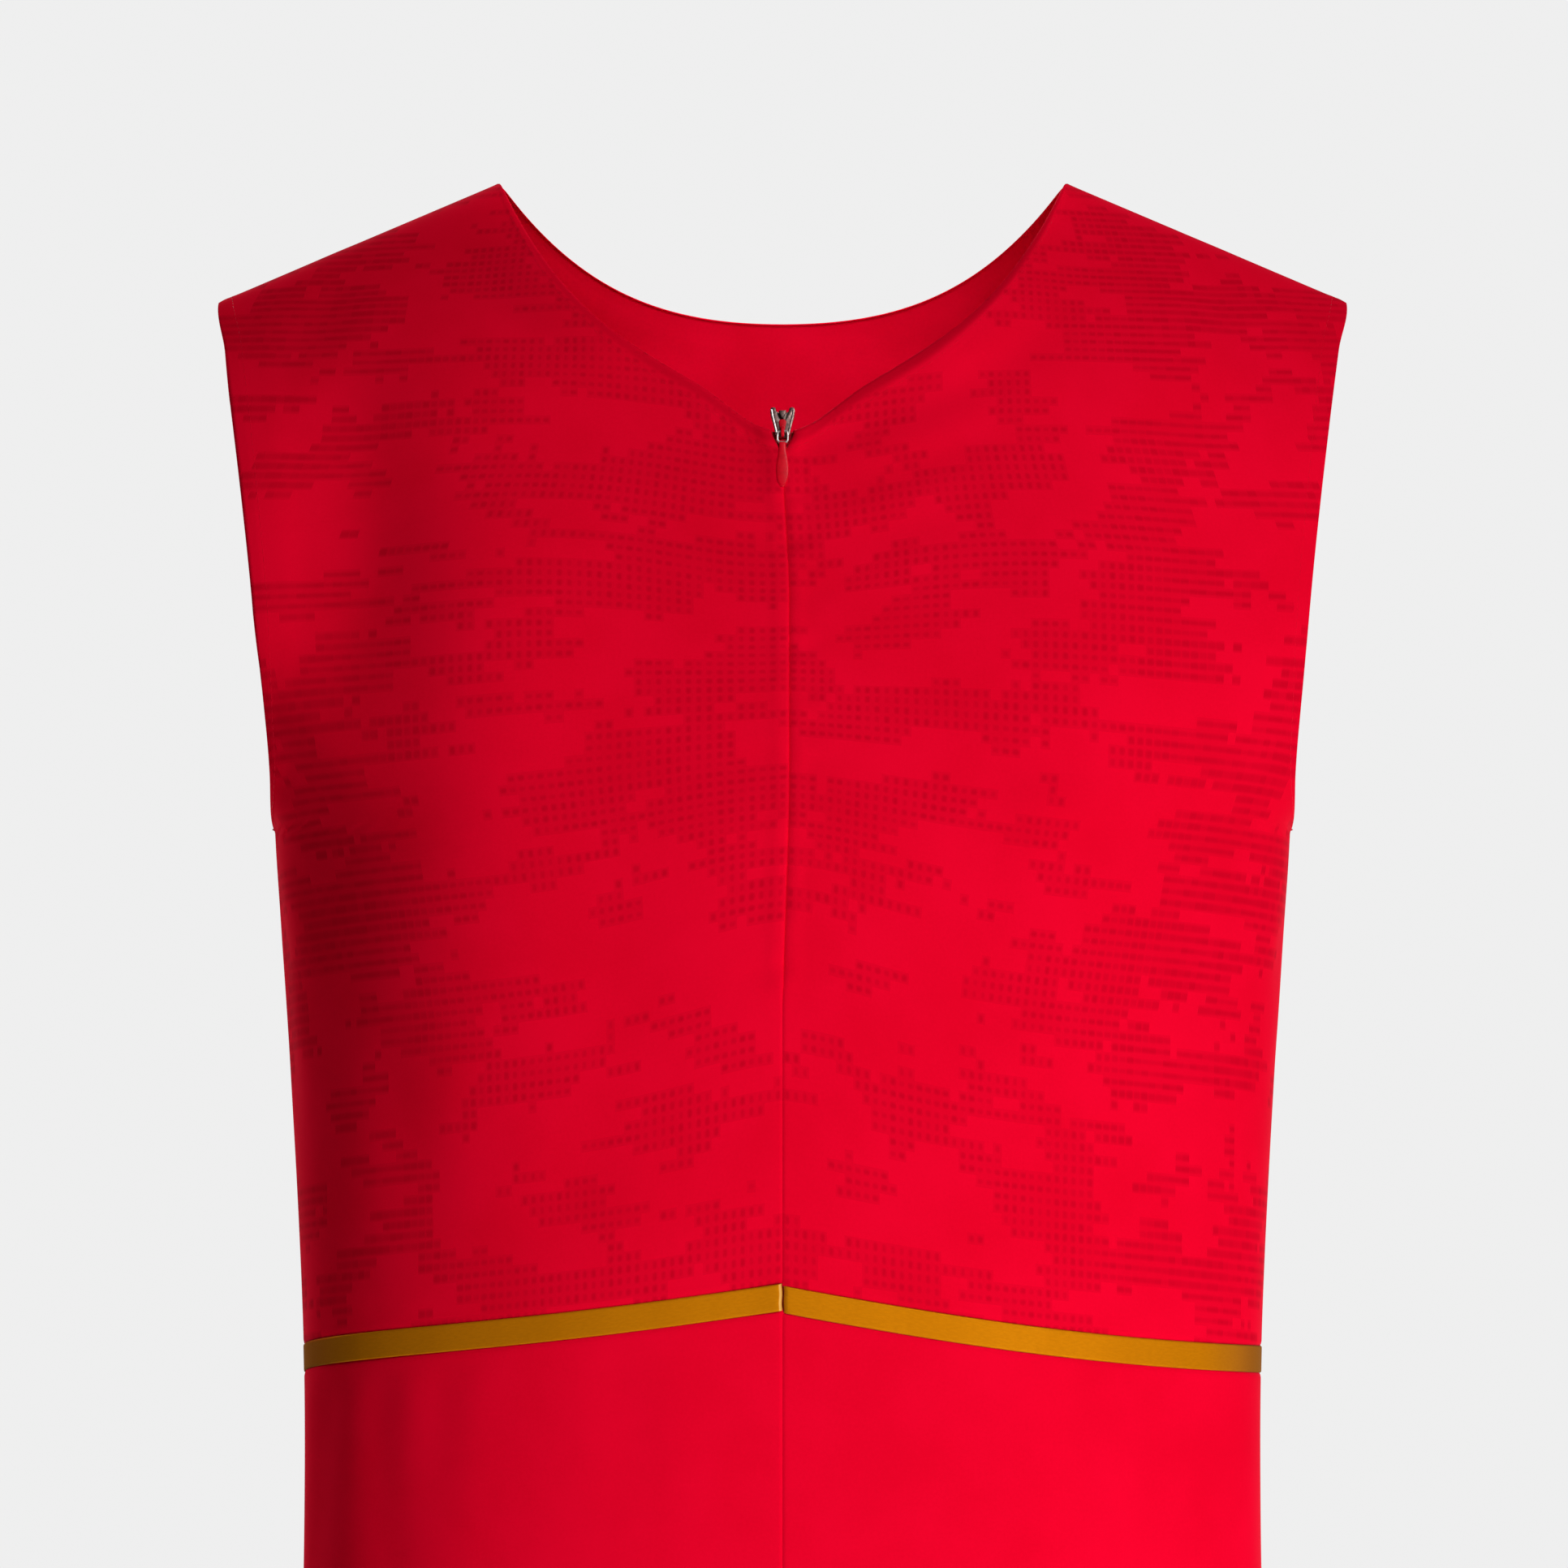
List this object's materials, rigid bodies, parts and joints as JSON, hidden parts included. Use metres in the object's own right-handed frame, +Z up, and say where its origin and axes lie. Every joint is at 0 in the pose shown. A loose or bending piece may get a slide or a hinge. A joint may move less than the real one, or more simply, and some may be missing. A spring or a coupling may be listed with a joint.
{
  "type": "athletics bodysuit",
  "caption": "Sleeveless athletics bodysuit with short legs, filled out and hollow: red front with mesh patches, concealed front zip with pull tab, gold waist band.",
  "frame": {"origin": "midway between the neck points of the two shoulder seams, on the inside of the shoulders, where the wearer's shoulders carry the garment", "axes": "+Z up the body, -Y the way the wearer faces, +X towards the wearer's left"},
  "size_m": [0.3956, 0.2379, 0.9012],
  "materials": {
    "jacquard": "smooth stretch knit with a soft sheen and patches of small square mesh holes",
    "plain_knit": "plain fine stretch knit with a soft satin sheen",
    "gold_tape": "satin metallic gold elastic tape",
    "zip_tape": "woven polyester tape",
    "zip_metal": "gloss red lacquer over metal, worn bright at the slider's throat"
  },
  "bodies": {
    "garment": {"front_upper_left": "jacquard", "front_upper_right": "jacquard", "back_upper": "plain_knit", "band_left": "gold_tape", "band_right": "gold_tape", "front_lower_left": "plain_knit", "front_lower_right": "plain_knit", "back_lower_left": "plain_knit", "back_lower_right": "plain_knit", "zip_tape_left": "zip_tape", "zip_tape_right": "zip_tape", "zip_slider": "zip_metal"},
    "pull_tab": {"pull_tab": "zip_metal"}
  },
  "joints": [
    {"name": "pull_tab_swing", "type": "hinge", "parent": "garment", "child": "pull_tab", "pos_m": [0, -0.09181, -0.08896], "axis": [-1, 0, 0], "range_deg": [0, 165]}
  ]
}
